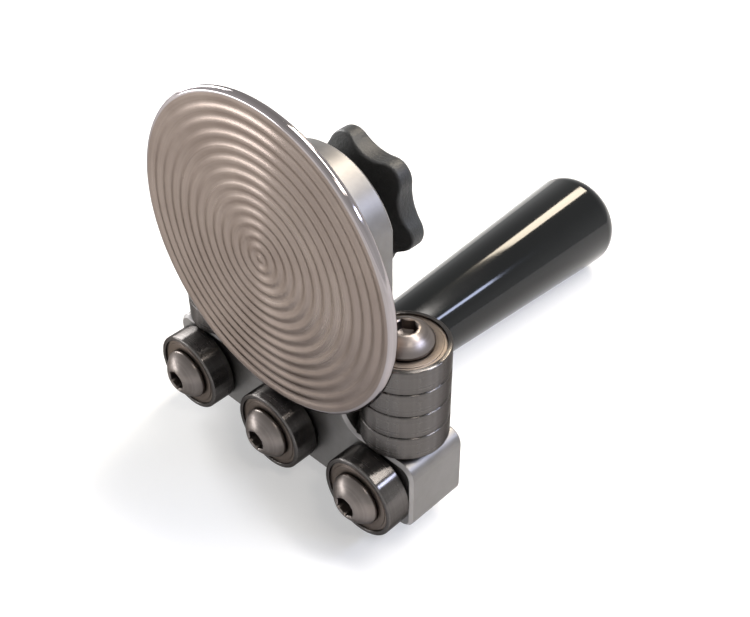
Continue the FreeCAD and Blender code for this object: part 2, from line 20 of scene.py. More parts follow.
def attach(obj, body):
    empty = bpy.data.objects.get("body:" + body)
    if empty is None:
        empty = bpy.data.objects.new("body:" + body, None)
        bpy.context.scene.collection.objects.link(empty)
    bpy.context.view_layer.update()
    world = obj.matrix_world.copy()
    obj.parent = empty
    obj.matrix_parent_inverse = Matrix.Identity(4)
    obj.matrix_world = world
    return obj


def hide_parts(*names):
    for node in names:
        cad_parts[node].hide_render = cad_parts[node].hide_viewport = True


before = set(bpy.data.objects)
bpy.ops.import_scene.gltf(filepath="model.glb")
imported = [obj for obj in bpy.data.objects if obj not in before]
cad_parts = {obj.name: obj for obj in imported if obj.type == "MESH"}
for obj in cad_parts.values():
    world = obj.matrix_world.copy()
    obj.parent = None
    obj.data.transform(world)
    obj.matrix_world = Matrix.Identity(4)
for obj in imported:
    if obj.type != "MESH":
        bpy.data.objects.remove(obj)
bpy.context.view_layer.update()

log = logging.getLogger("disc_bender")

Tree = bpy.types.NodeTree
Node = bpy.types.Node
Socket = bpy.types.NodeSocket
Point = tuple[float, float, float]
# Levels from 0 to 1, each with its sRGB colour
Stops = Sequence[tuple[float, str]]

MM = 0.001
TAU = 2.0 * math.pi
# Point attributes that the finishes read: the place about the piece's own axis, and the
# way that a lathe's marks run
LOCAL = "local_mm"
LAY = "lay"
# Least distance from the axis, which keeps a division by it safe
SMALL = 1e-6
# Edges whose faces meet more steeply than this are shaded sharp
SHARP_ANGLE = math.radians(38.0)


class Facing(Enum):
    """Way that a turned piece's own axis points on the tool."""

    UP = "up"
    FRONT = "front"
    BACK = "back"

    def turned(self, points: np.ndarray) -> np.ndarray:
        """Turn points from the piece's own axis to the tool.

        Args:
            points: Rows of x, y, z with the axis along z.

        Returns:
            The same rows in the tool's directions.
        """
        x, y, z = points[:, 0], points[:, 1], points[:, 2]
        if self is Facing.FRONT:
            return np.stack([x, -z, y], axis=1)
        if self is Facing.BACK:
            return np.stack([x, z, -y], axis=1)
        return points.copy()


@dataclass
class Surface:
    """A closed surface in millimetres, with each point's place about its own axis.

    Attributes:
        points: Rows of x, y, z on the tool.
        local: The same rows about the piece's own axis, which the finishes read.
        lay: Unit rows on the tool that point round the axis, the way that a lathe's marks
            run.
        faces: Tuples of point numbers, pointing outwards.
    """

    points: np.ndarray
    local: np.ndarray
    lay: np.ndarray
    faces: list[tuple[int, ...]]

    def joined(self, others: Sequence["Surface"]) -> "Surface":
        """Put several surfaces in one mesh, without merging them.

        Args:
            others: The surfaces that follow this one.

        Returns:
            One surface that holds them all.
        """
        every = [self, *others]
        points, local, lay = (np.concatenate([getattr(surface, part) for surface in every])
                              for part in ("points", "local", "lay"))
        faces, count = [], 0
        for surface in every:
            faces.extend(tuple(index + count for index in face) for face in surface.faces)
            count += len(surface.points)
        return Surface(points, local, lay, faces)

    def piece(self, name: str) -> bpy.types.Object:
        """Make a smooth mesh object with sharp edges where faces meet steeply.

        Args:
            name: The object's name.

        Returns:
            The object, at the origin, with its place in its mesh.
        """
        mesh = bpy.data.meshes.new(name)
        mesh.from_pydata((self.points * MM).tolist(), [], self.faces)
        for label, rows in ((LOCAL, self.local), (LAY, self.lay)):
            attribute = mesh.attributes.new(label, "FLOAT_VECTOR", "POINT")
            attribute.data.foreach_set("vector", rows.astype(np.float32).ravel())
        mesh.polygons.foreach_set("use_smooth", np.ones(len(mesh.polygons), dtype=bool))
        mesh.update()
        mesh.set_sharp_from_angle(angle=SHARP_ANGLE)
        return in_scene(name, mesh)


def lofted(rows: np.ndarray, facing: Facing, centre: Sequence[float], ring: bool) -> Surface:
    """Join rows of points into a closed surface.

    Point k of a row is joined to point k + 1, round to the first again, and to point k of
    the next row. A ring's last row is joined to its first. Otherwise the first and last
    rows are each closed by a point at their middle. The faces are turned over where the
    sum of the signed volumes between them and the origin is negative. The lay at x, y is
    the way of -y, x.

    Args:
        rows: Points as (row, place in the row, x y z) about the piece's own axis.
        facing: Way that the axis points.
        centre: Point on the tool where the axis has its origin.
        ring: True for a surface that closes on itself, such as a ring's.

    Returns:
        The surface.
    """
    count, across = rows.shape[:2]
    spans = count if ring else count - 1
    row, place = np.meshgrid(np.arange(spans), np.arange(across), indexing="ij")
    after, beside = (row + 1) % count, (place + 1) % across
    quads = np.stack([row * across + place, row * across + beside,
                      after * across + beside, after * across + place], axis=-1).reshape(-1, 4)
    local = rows.reshape(-1, 3)
    faces = [tuple(quad) for quad in quads.tolist()]
    if not ring:
        first, last = len(local), len(local) + 1
        local = np.concatenate([local, rows[0].mean(0)[None], rows[-1].mean(0)[None]])
        end = (count - 1) * across
        for index in range(across):
            follows = (index + 1) % across
            faces.append((follows, index, first))
            faces.append((end + index, end + follows, last))
    corner = local[quads]
    volume = np.einsum("ij,ij->", corner[:, 0], np.cross(corner[:, 1], corner[:, 2])
                       + np.cross(corner[:, 2], corner[:, 3]))
    if volume < 0.0:
        faces = [face[::-1] for face in faces]
    away = np.maximum(np.hypot(local[:, 0], local[:, 1]), SMALL)
    round_axis = np.stack([-local[:, 1] / away, local[:, 0] / away, np.zeros(len(local))], axis=1)
    points = facing.turned(local) + np.asarray(centre, float)
    return Surface(points, local, facing.turned(round_axis), faces)


def rounded(corners: Sequence[tuple[float, float, float]], ring: bool,
            steps: int = 5) -> np.ndarray:
    """Round the corners of an outline.

    A corner of radius r between two sides that turn by an angle a is replaced by an arc
    that starts and ends r tan(a / 2) from the corner, along its sides.

    Args:
        corners: Each corner's distance from the axis, height and rounding radius.
        ring: True where the last corner is joined to the first.
        steps: Spans on each arc.

    Returns:
        Rows of distance from the axis and height.
    """
    count = len(corners)
    made = []
    for index, (radius, height, rounding) in enumerate(corners):
        here = np.array([radius, height])
        at_end = not ring and index in (0, count - 1)
        if rounding <= 0.0 or at_end:
            made.append(here)
            continue
        to_last = np.array(corners[index - 1][:2]) - here
        to_next = np.array(corners[(index + 1) % count][:2]) - here
        to_last /= np.linalg.norm(to_last)
        to_next /= np.linalg.norm(to_next)
        turn = math.pi - math.acos(float(np.clip(to_last @ to_next, -1.0, 1.0)))
        start = here + to_last * rounding * math.tan(turn / 2.0)
        middle = to_last + to_next
        centre = here + middle / np.linalg.norm(middle) * rounding / math.cos(turn / 2.0)
        arm = start - centre
        side = 1.0 if to_last[0] * to_next[1] - to_last[1] * to_next[0] < 0.0 else -1.0
        for step in range(steps + 1):
            angle = side * turn * step / steps
            made.append(centre + np.array([arm[0] * math.cos(angle) - arm[1] * math.sin(angle),
                                           arm[0] * math.sin(angle) + arm[1] * math.cos(angle)]))
    return np.array(made)


def arc(centre: tuple[float, float], radius: float, start: float, end: float,
        steps: int) -> np.ndarray:
    """Points on an arc of an outline, evenly spaced in angle.

    Args:
        centre: Distance from the axis and height of the arc's centre.
        radius: The arc's radius.
        start: First angle in radians, from the direction away from the axis.
        end: Last angle in radians.
        steps: Spans on the arc.

    Returns:
        Rows of distance from the axis and height.
    """
    angle = np.linspace(start, end, steps + 1)
    return np.stack([centre[0] + radius * np.cos(angle),
                     centre[1] + radius * np.sin(angle)], axis=1)


def turned(outline: np.ndarray, segments: int, facing: Facing, centre: Sequence[float],
           ring: bool) -> Surface:
    """Turn an outline about its axis.

    The point at angle a is (r cos a, r sin a, h) for each distance r and height h.

    Args:
        outline: Rows of distance from the axis and height.
        segments: Spans round the axis.
        facing: Way that the axis points.
        centre: Point on the tool where the axis has its origin.
        ring: True where the outline closes on itself, clear of the axis.

    Returns:
        The surface.
    """
    angle = np.arange(segments) * TAU / segments
    radius, height = outline[:, 0][:, None], outline[:, 1][:, None]
    rows = np.stack([radius * np.cos(angle), radius * np.sin(angle),
                     np.broadcast_to(height, (len(outline), segments))], axis=-1)
    return lofted(rows, facing, centre, ring)


def linear(colour: str) -> tuple[float, float, float, float]:
    """Turn an sRGB colour into linear light.

    Args:
        colour: Six hexadecimal figures.

    Returns:
        Red, green, blue and one.
    """
    parts = [int(colour[at:at + 2], 16) / 255.0 for at in (0, 2, 4)]
    red, green, blue = [part / 12.92 if part <= 0.04045 else ((part + 0.055) / 1.055) ** 2.4
                        for part in parts]
    return (red, green, blue, 1.0)


def add(tree: Tree, kind: str, settings: dict[str, Any] | None = None, **values: Any) -> Node:
    """Add a node, with its settings, and values or links for its inputs.

    Args:
        tree: The node tree.
        kind: The node's type.
        settings: Properties of the node itself.
        values: A number, a colour or a socket for each input, named with low lines for
            spaces, or as i0, i1 and so on where inputs share a name.

    Returns:
        The node.
    """
    node = tree.nodes.new(kind)
    for name, value in (settings or {}).items():
        setattr(node, name, value)
    for name, value in values.items():
        numbered = name[0] == "i" and name[1:].isdigit()
        socket = node.inputs[int(name[1:]) if numbered else name.replace("_", " ")]
        if isinstance(value, Socket):
            tree.links.new(value, socket)
        else:
            socket.default_value = value
    return node


def calc(tree: Tree, operation: str, *values: Any) -> Socket:
    """Work out a number from other numbers or sockets.

    Args:
        tree: The node tree.
        operation: What is done with them, as the node names it.
        values: The numbers or sockets, in order.

    Returns:
        The socket of the result.
    """
    numbered = {f"i{index}": value for index, value in enumerate(values)}
    return add(tree, "ShaderNodeMath", {"operation": operation}, **numbered).outputs[0]


def noise(tree: Tree, place: Socket, scale: float, detail: float, roughness: float) -> Socket:
    """Add noise.

    Args:
        tree: The node tree.
        place: Where it is read.
        scale: One over the width of its largest spots.
        detail: How many finer layers it has.
        roughness: How strong each layer is beside the one before.

    Returns:
        The noise's level.
    """
    return add(tree, "ShaderNodeTexNoise", Vector=place, Scale=scale, Detail=detail,
               Roughness=roughness).outputs["Fac"]


def fresh_tree(owner: bpy.types.Material | bpy.types.World) -> Tree:
    """Give a material or a world an empty node tree.

    Args:
        owner: The material or the world.

    Returns:
        Its tree.
    """
    owner.use_nodes = True
    owner.node_tree.nodes.clear()
    return owner.node_tree


def in_scene(name: str, data: bpy.types.ID) -> bpy.types.Object:
    """Put a mesh, a lamp or a camera in the scene.

    Args:
        name: The object's name.
        data: The mesh, the lamp or the camera.

    Returns:
        The object.
    """
    made = bpy.data.objects.new(name, data)
    bpy.context.scene.collection.objects.link(made)
    return made


def ramp(tree: Tree, factor: Socket, stops: Stops) -> Socket:
    """Add a colour ramp.

    Args:
        tree: The node tree.
        factor: What the ramp reads.
        stops: Each stop's place and sRGB colour, in order.

    Returns:
        The ramp's colour.
    """
    node = add(tree, "ShaderNodeValToRGB", Fac=factor)
    elements = node.color_ramp.elements
    while len(elements) < len(stops):
        elements.new(0.5)
    for element, (place, colour) in zip(elements, stops):
        element.position = place
        element.color = linear(colour)
    return node.outputs["Color"]


class Finish:
    """A surface finish, made once and shared by the pieces that have it.

    Attributes:
        made: The material of each finish that is in use.
        relief: Depth of the finish's relief in millimetres.
    """

    made: ClassVar[dict["Finish", bpy.types.Material]] = {}
    relief: float

    def material(self) -> bpy.types.Material:
        """Give the finish's material, making it at first use.

        Returns:
            The material.
        """
        if self not in Finish.made:
            material = bpy.data.materials.new(type(self).__name__)
            tree = fresh_tree(material)
            shader = add(tree, "ShaderNodeBsdfPrincipled")
            output = add(tree, "ShaderNodeOutputMaterial")
            tree.links.new(shader.outputs["BSDF"], output.inputs["Surface"])
            self.dress(tree, shader)
            Finish.made[self] = material
        return Finish.made[self]

    def dress(self, tree: Tree, shader: Node) -> None:
        """Set the shader's values and patterns."""
        raise NotImplementedError

    def cover(self, tree: Tree, shader: Node, shade: Socket, stops: Stops,
              span: tuple[float, float], rough: tuple[float, float], height: Socket) -> None:
        """Give the shader its colour and roughness from one pattern, its relief from another.

        Args:
            tree: The node tree.
            shader: The shader.
            shade: Pattern that the colour and the roughness follow.
            stops: The colours, each with its level of the pattern.
            span: Levels of the pattern between which the roughness changes.
            rough: Roughness at each of those levels.
            height: Pattern that the relief follows.
        """
        tree.links.new(ramp(tree, shade, stops), shader.inputs["Base Color"])
        gloss = add(tree, "ShaderNodeMapRange", Value=shade, From_Min=span[0], From_Max=span[1],
                    To_Min=rough[0], To_Max=rough[1])
        tree.links.new(gloss.outputs["Result"], shader.inputs["Roughness"])
        bump = add(tree, "ShaderNodeBump", Height=height, Strength=1.0, Distance=self.relief * MM)
        tree.links.new(bump.outputs["Normal"], shader.inputs["Normal"])


@dataclass(frozen=True)
class TurnedSteel(Finish):
    """Steel that was turned or ground round its own axis.

    The tool leaves rings about the axis, so the grain is noise that depends only on the
    distance from the axis and the height along it. Slow stains change its colour and
    gloss a little. Past a rim, streaks along the axis are painted lighter and darker as
    well: a painted reflection of the streaks that a ground rim shows.

    Attributes:
        dark: sRGB colour of the darker rings, stains and painted reflection streaks.
        light: sRGB colour of the lighter ones.
        grain: Width of the grain in millimetres, drawn coarser than the real 0.05 mm so
            that it shows.
        low: Lowest roughness.
        high: Highest roughness.
        relief: Depth of the grain in millimetres.
        drawn: How much a highlight is drawn out across the marks, from 0 to 1.
        stain: Width of the stains in millimetres.
        rim: Distance from the axis where a ground rim starts, in millimetres. Past it,
            streaks along the axis are painted lighter and darker, a painted reflection of
            the streaks that a ground rim shows. Nought for no rim.
        streak_scale: How close the painted streaks are, as noise's scale on a unit circle.
        streak_share: How strongly the painted streaks show.
        edge_tint: Brightness of the metal at a grazing view, darker than clean steel's.
        quarter: A quarter turn, as a share of a whole one: the marks run round the axis,
            and the highlight is drawn out across them.
    """

    dark: str
    light: str
    grain: float
    low: float
    high: float
    relief: float
    drawn: float
    stain: float = 16.0
    rim: float = 0.0
    streak_scale: float = 6.0
    streak_share: float = 0.4
    edge_tint: float = 0.35
    quarter: float = 0.25

    def paint_reflection_streaks(self, tree: Tree, flat: Socket, away: Socket) -> Socket:
        """Paint reflection streaks along the axis: noise of the direction from the axis alone.

        Args:
            tree: The node tree.
            flat: The place with its height along the axis left out.
            away: The distance from the axis.

        Returns:
            The painted reflection streaks about nought, and nought inside the rim.
        """
        way = add(tree, "ShaderNodeVectorMath", {"operation": "NORMALIZE"}, i0=flat)
        marks = noise(tree, way.outputs[0], self.streak_scale, 3.0, 0.6)
        level = calc(tree, "SUBTRACT", marks, 0.5)
        outside = calc(tree, "GREATER_THAN", away, self.rim)
        return calc(tree, "MULTIPLY", level, outside)

    def dress(self, tree: Tree, shader: Node) -> None:
        """Draw rings of grain about the piece's own axis.

        Args:
            tree: The node tree.
            shader: The shader.
        """
        place = add(tree, "ShaderNodeAttribute", {"attribute_name": LOCAL}).outputs["Vector"]
        parts = add(tree, "ShaderNodeSeparateXYZ", Vector=place).outputs
        flat = add(tree, "ShaderNodeCombineXYZ", X=parts["X"], Y=parts["Y"])
        away = add(tree, "ShaderNodeVectorMath", {"operation": "LENGTH"}, i0=flat.outputs[0])
        rings = add(tree, "ShaderNodeCombineXYZ", X=away.outputs["Value"], Y=parts["Z"])
        grain = noise(tree, rings.outputs[0], 1.0 / self.grain, 3.0, 0.6)
        stains = noise(tree, place, 1.0 / self.stain, 3.0, 0.5)
        shade = calc(tree, "MULTIPLY", calc(tree, "ADD", grain, stains), 0.5)
        # Past the rim, lighter and darker streaks along the axis: a painted reflection
        if self.rim:
            marks = self.paint_reflection_streaks(tree, flat.outputs[0], away.outputs["Value"])
            shade = calc(tree, "MULTIPLY_ADD", marks, self.streak_share, shade)
        self.cover(tree, shader, shade, [(0.3, self.dark), (0.7, self.light)], (0.35, 0.65),
                   (self.low, self.high), grain)
        lay = add(tree, "ShaderNodeAttribute", {"attribute_name": LAY}).outputs["Vector"]
        turned_lay = add(tree, "ShaderNodeVectorTransform", {
            "vector_type": "VECTOR", "convert_from": "OBJECT", "convert_to": "WORLD"}, Vector=lay)
        tree.links.new(turned_lay.outputs[0], shader.inputs["Tangent"])
        shader.inputs["Anisotropic"].default_value = self.drawn
        shader.inputs["Anisotropic Rotation"].default_value = self.quarter
        shader.inputs["Metallic"].default_value = 1.0
        shader.inputs["Specular Tint"].default_value = (*[self.edge_tint] * 3, 1.0)


@dataclass(frozen=True)
class BlastedMetal(Finish):
    """Metal blasted with beads, or plated and tumbled: an even satin with fine pits.

    Attributes:
        dark: sRGB colour of the darker patches.
        light: sRGB colour of the lighter patches.
        grit: Width of the pits in millimetres.
        rough: Mean roughness.
        relief: Depth of the pits in millimetres.
        stain: Width of the patches in millimetres.
        spread: How far the roughness goes from its mean.
    """

    dark: str
    light: str
    grit: float
    rough: float
    relief: float
    stain: float = 9.0
    spread: float = 0.05

    def dress(self, tree: Tree, shader: Node) -> None:
        """Draw pits and faint patches on the tool's own coordinates.

        Args:
            tree: The node tree.
            shader: The shader.
        """
        place = add(tree, "ShaderNodeTexCoord").outputs["Object"]
        pits = noise(tree, place, 1.0 / (self.grit * MM), 2.0, 0.5)
        stains = noise(tree, place, 1.0 / (self.stain * MM), 4.0, 0.65)
        self.cover(tree, shader, stains, [(0.35, self.dark), (0.65, self.light)], (0.3, 0.7),
                   (self.rough - self.spread, self.rough + self.spread), pits)
        shader.inputs["Metallic"].default_value = 1.0


@dataclass(frozen=True)
class MouldedPlastic(Finish):
    """Plastic from a mould, polished or with a fine spark-eroded texture.

    Attributes:
        dark: sRGB colour of the plastic.
        light: sRGB colour where handling has greyed it.
        grit: Width of the texture in millimetres.
        rough: Mean roughness.
        relief: Depth of the texture in millimetres.
        mirror: Specular level, where 0.5 is that of the plain IOR.
        worn: Width of the patches that handling has greyed, in millimetres.
        spread: How far the roughness goes from its mean, as a share of it.
        refraction: The plastic's index of refraction.
    """

    dark: str
    light: str
    grit: float
    rough: float
    relief: float
    mirror: float = 0.5
    worn: float = 14.0
    spread: float = 0.15
    refraction: float = 1.5

    def dress(self, tree: Tree, shader: Node) -> None:
        """Draw the mould's texture and slow changes of gloss.

        Args:
            tree: The node tree.
            shader: The shader.
        """
        place = add(tree, "ShaderNodeTexCoord").outputs["Object"]
        texture = noise(tree, place, 1.0 / (self.grit * MM), 3.0, 0.6)
        wear = noise(tree, place, 1.0 / (self.worn * MM), 4.0, 0.5)
        self.cover(tree, shader, wear, [(0.4, self.dark), (0.75, self.light)], (0.3, 0.7),
                   (self.rough * (1.0 - self.spread), self.rough * (1.0 + self.spread)), texture)
        shader.inputs["IOR"].default_value = self.refraction
        shader.inputs["Specular IOR Level"].default_value = self.mirror


# Steel turned on a lathe: satin rings, with a warm tone painted into its colour for the
# warm room that it reflects (painted reflection)
DISC_FACE = TurnedSteel("746963", "8f847d", 0.45, 0.21, 0.28, 0.002, 0.75)
# The same steel polished at the rim, so it mirrors the lamps
DISC_RIM = TurnedSteel("8d8887", "a39c9e", 0.6, 0.08, 0.13, 0.001, 0.4)
# Bearing steel ground on its rim and sides: reflections drawn out in streaks, and past
# the rim, streaks along the axis painted into its colour as a painted reflection
GROUND_RING = TurnedSteel("4d4a49", "676462", 0.35, 0.20, 0.28, 0.0002, 1.0, rim=10.4)
# Pressed bearing shield: duller and darker than the rings
PRESSED_SHIELD = TurnedSteel("615953", "7a716b", 0.6, 0.28, 0.36, 0.002, 0.4)
# Stainless button head, tumbled after it was forged: soft grey, shiny but not sharp
TUMBLED_STAINLESS = TurnedSteel("69635f", "837c79", 0.9, 0.30, 0.40, 0.002, 0.0)
# Aluminium plate milled and bead blasted: an even silver grey satin
BLASTED_ALUMINIUM = BlastedMetal("6c6a68", "787675", 0.35, 0.42, 0.004)
# Chamfers milled after blasting, and painted brighter for the light that they catch:
# partly their milled finish, partly a painted highlight
MILLED_CHAMFER_HIGHLIGHT = BlastedMetal("878484", "939190", 0.5, 0.40, 0.002)
# Zinc plated steel on hidden pieces: plain light grey
PLATED_STEEL = BlastedMetal("858380", "9a9895", 0.3, 0.30, 0.002)
# Brass insert turned on a lathe: dull yellow
TURNED_BRASS = BlastedMetal("a37f42", "b8934f", 0.4, 0.25, 0.002)
# Bearing balls, lapped: as bright as a mirror
LAPPED_BALL = BlastedMetal("a09e9c", "b0aeac", 0.6, 0.08, 0.0)
# Nylon washer in its natural colour: milky and dull
NYLON = MouldedPlastic("c9c4b6", "d5d0c3", 0.4, 0.5, 0.003)
# Glass filled nylon knob with a fine spark-eroded texture: dull, nearly black
TEXTURED_NYLON = MouldedPlastic("202020", "2a2c2c", 0.6, 0.46, 0.13, 0.36)
# Phenolic handle polished in its mould: deep black gloss
POLISHED_PHENOLIC = MouldedPlastic("090b0c", "0c0e0e", 2.0, 0.10, 0.002, 0.33)


def show(piece: bpy.types.Object, body: str, finish: Finish, slot: str, *nodes: str) -> None:
    """Give a piece its finish and body, and let it stand for its nodes.

    Args:
        piece: The piece.
        body: The body that it moves with.
        finish: Its finish.
        slot: The record's material slot; not used.
        nodes: Names of the nodes that it stands for.
    """
    piece.data.materials.append(finish.material())
    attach(piece, body)
    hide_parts(*nodes)
    log.info("%s on %s", piece.name, body)


def paint(node: str, finish: Finish) -> None:
    """Give a node that is shown as it is its finish.

    Args:
        node: The node's name.
        finish: Its finish.
    """
    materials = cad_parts[node].data.materials
    if not materials:
        materials.append(finish.material())
    for index in range(len(materials)):
        materials[index] = finish.material()
    log.info("%s painted", node)


@dataclass
class Bearing:
    """A ball bearing on its screw: turning ring and shields, with its own nodes.

    Attributes:
        name: Name of the roller, which its nodes and body start with.
        facing: Way that its axis points.
        centre: Middle of its lower face on the tool.

    The other fields are sizes in millimetres, as distances from the axis and heights.
    """

    name: str
    facing: Facing
    centre: Point
    rim: float = 11.0
    width: float = 7.0
    relief: float = 0.05
    edge: float = 0.5
    seat: float = 9.75
    seat_depth: float = 0.8
    land: float = 9.3
    race_circle: float = 7.75
    race: float = 2.0645
    shield_edge: float = 9.74
    shield_bore: float = 6.35
    shield_inset: float = 0.3
    shield_t: float = 0.3
    shield_step: float = 0.4
    seat_round: float = 0.12
    hem_round: float = 0.1
    bend_round: float = 0.12
    foot_round: float = 0.08
    race_steps: int = 14
    segments: int = 160

    def ring(self) -> Surface:
        """Outer ring: rounded rim edges, a seat for each shield and the race inside.

        The race is an arc about the balls' circle, which meets the lands where the
        cosine of its angle is the lands' distance from that circle over its radius.

        Returns:
            The ring's surface.
        """
        low, high = self.relief, self.width - self.relief
        floor_low, floor_high = low + self.seat_depth, high - self.seat_depth
        lean = math.acos((self.land - self.race_circle) / self.race)
        outside = rounded([(self.seat, floor_low, 0.0), (self.seat, low, self.seat_round),
                           (self.rim, low, self.edge), (self.rim, high, self.edge),
                           (self.seat, high, self.seat_round), (self.seat, floor_high, 0.0),
                           (self.land, floor_high, 0.0)], ring=False)
        race = arc((self.race_circle, self.width / 2.0), self.race, lean, -lean, self.race_steps)
        outline = np.concatenate([outside, race, [[self.land, floor_low]]])
        return turned(outline, self.segments, self.facing, self.centre, ring=True)

    def shields(self) -> Surface:
        """Pressed shields in both faces, raised towards the middle with rounded bends.

        Returns:
            Both shields' surface.
        """
        outer_low = self.relief + self.seat_depth - self.shield_t
        web = self.shield_inset + self.shield_t
        bend = self.land - self.shield_step
        floor = outer_low + self.shield_t
        lower = rounded([(self.shield_bore, self.shield_inset, self.hem_round),
                         (bend, self.shield_inset, self.bend_round),
                         (bend, outer_low, self.foot_round),
                         (self.shield_edge, outer_low, self.hem_round),
                         (self.shield_edge, floor, 0.0), (bend - self.shield_t, floor, 0.0),
                         (bend - self.shield_t, web, 0.0),
                         (self.shield_bore, web, self.hem_round)], ring=True)
        upper = lower * [1.0, -1.0] + [0.0, self.width]
        made = [turned(outline, self.segments, self.facing, self.centre, ring=True)
                for outline in (lower, upper)]
        return made[0].joined(made[1:])

    def build(self) -> None:
        """Build the ring and the shields, and dress the balls."""
        for part, how, surface, finish, slot in (
                ("outer_ring", "ground", self.ring(), GROUND_RING, "ring_steel"),
                ("shields", "pressed", self.shields(), PRESSED_SHIELD, "shield_steel")):
            node = f"{self.name}_{part}"
            show(surface.piece(f"{node}_{how}"), self.name, finish, slot, node)
        paint(f"{self.name}_balls", LAPPED_BALL)


@dataclass
class ButtonScrews:
    """Button head screws of one kind, with hexagon sockets, in one piece.

    Attributes:
        node: The node that they stand for.
        facing: Way that their heads point.
        seats: Where the middle of each head's underside is.
        length: Length under the head.
        crown_rise: How far the crown stands off its chord, as a share of the chord's length.

    The other fields are sizes in millimetres: distances from the axis, heights and depths,
    or shares of the socket's reach.
    """

    node: str
    facing: Facing
    seats: list[Point]
    length: float
    shank: float = 3.95
    head: float = 7.0
    head_height: float = 4.2
    rim_height: float = 0.7
    top: float = 3.3
    crown_rise: float = 0.08
    socket: float = 5.0
    socket_depth: float = 3.0
    end_chamfer: float = 0.8
    underside_round: float = 0.2
    mouth_widening: float = 0.12
    mouth_depth: float = 0.25
    corner_round: float = 0.05
    floor_round: float = 0.15
    dimple: float = 0.35
    floor_share: float = 0.9
    dimple_share: float = 0.45
    crown_points: int = 19
    segments: int = 144

    def screw(self, seat: Point) -> Surface:
        """One screw.

        At a share t of the way from the rim to the top, the crown stands off the chord
        by 4 t (1 - t) times the named share of the chord's length. The socket's wall is
        at a distance from the axis of half its width over the cosine of the angle from
        the nearest flat's middle.

        Args:
            seat: Middle of the head's underside.

        Returns:
            The screw's surface.
        """
        angle = np.arange(self.segments) * TAU / self.segments
        low, high = np.array([self.head, self.rim_height]), np.array([self.top, self.head_height])
        chord = high - low
        across = np.linspace(0.0, 1.0, self.crown_points)[:, None]
        bulge = 4.0 * across * (1.0 - across) * self.crown_rise
        crown = low + chord * across + np.array([chord[1], -chord[0]]) * bulge
        shank = rounded([(0.0, -self.length, 0.0),
                         (self.shank - self.end_chamfer, -self.length, 0.0),
                         (self.shank, self.end_chamfer - self.length, 0.0), (self.shank, 0.0, 0.0),
                         (self.head, 0.0, self.underside_round),
                         (self.head, self.rim_height, 0.0)], ring=False)
        outline = np.concatenate([shank[1:-1], crown])
        sector = TAU / 6.0
        flat = self.socket / 2.0 / np.cos((angle + sector / 2.0) % sector - sector / 2.0)
        mouth = np.maximum(flat + self.mouth_widening,
                           self.socket / math.sqrt(3.0) - self.corner_round)
        floor = self.head_height - self.socket_depth
        levels = [(mouth, self.head_height), (flat, self.head_height - self.mouth_depth),
                  (flat, floor + self.floor_round), (flat * self.floor_share, floor),
                  (flat * self.dimple_share, floor - self.dimple)]
        rings = np.broadcast_to(outline[:, 0][:, None], (len(outline), self.segments))
        reach = np.concatenate([rings, [distance for distance, _ in levels]])
        height = np.concatenate([outline[:, 1], [level for _, level in levels]])[:, None]
        rows = np.stack([reach * np.cos(angle), reach * np.sin(angle),
                         np.broadcast_to(height, reach.shape)], axis=-1)
        return lofted(rows, self.facing, seat, ring=False)

    def build(self) -> None:
        """Build all the screws as one piece."""
        made = [self.screw(seat) for seat in self.seats]
        show(made[0].joined(made[1:]).piece(f"{self.node}_tumbled"), "body", TUMBLED_STAINLESS,
             "screw_steel", self.node)


@dataclass
class BenderDisc:
    """Disc with concentric waves on its front and a polished round rim.

    The sizes are in millimetres. Its back is flat, with a seat for the spindle, and has
    mesh rings at the distances that back_rings gives.
    """

    radius: float = 41.5
    thickness: float = 2.5
    edge: float = 1.2
    back_y: float = -12.05
    height: float = 64.5
    waves: int = 13
    pitch: float = 3.05
    depth: float = 0.26
    seat: float = 8.02
    seat_depth: float = 0.9
    seat_middle: float = 2.0
    back_rings: tuple[float, float] = (30.0, 18.0)
    rim_margin: float = 1.0
    segments: int = 320
    steps_per_wave: int = 14
    rim_steps: int = 12

    def surface(self) -> Surface:
        """The whole disc.

        The front's height falls below its face by half the wave depth times one minus
        the cosine of a whole turn for each pitch, so crests and troughs are both round.
        Both edges of the rim are rounded with the edge radius.

        Returns:
            The disc's surface.
        """
        across = np.arange(1, self.waves * self.steps_per_wave + 1) / self.steps_per_wave
        front = np.stack([across * self.pitch,
                          self.thickness - self.depth * (1.0 - np.cos(TAU * across)) / 2.0], axis=1)
        flat = self.radius - self.edge
        rim = rounded([(front[-1, 0], self.thickness, 0.0),
                       (self.radius, self.thickness, self.edge), (self.radius, 0.0, self.edge),
                       (flat - self.rim_margin, 0.0, 0.0)], ring=False, steps=self.rim_steps)
        back = np.array([[reach, 0.0] for reach in (*self.back_rings, self.seat)]
                        + [[self.seat, self.seat_depth], [self.seat_middle, self.seat_depth]])
        outline = np.concatenate([front, rim[1:], back])
        return turned(outline, self.segments, Facing.FRONT, (0.0, self.back_y, self.height),
                      ring=False)

    def build(self) -> None:
        """Build the disc and polish its rim."""
        surface = self.surface()
        piece = surface.piece("disc_turned")
        show(piece, "disc", DISC_FACE, "disc_steel", "disc")
        piece.data.materials.append(DISC_RIM.material())
        away = np.hypot(surface.local[:, 0], surface.local[:, 1])
        rim = [int(away[list(face)].mean() > self.radius - self.edge) for face in surface.faces]
        piece.data.polygons.foreach_set("material_index", rim)


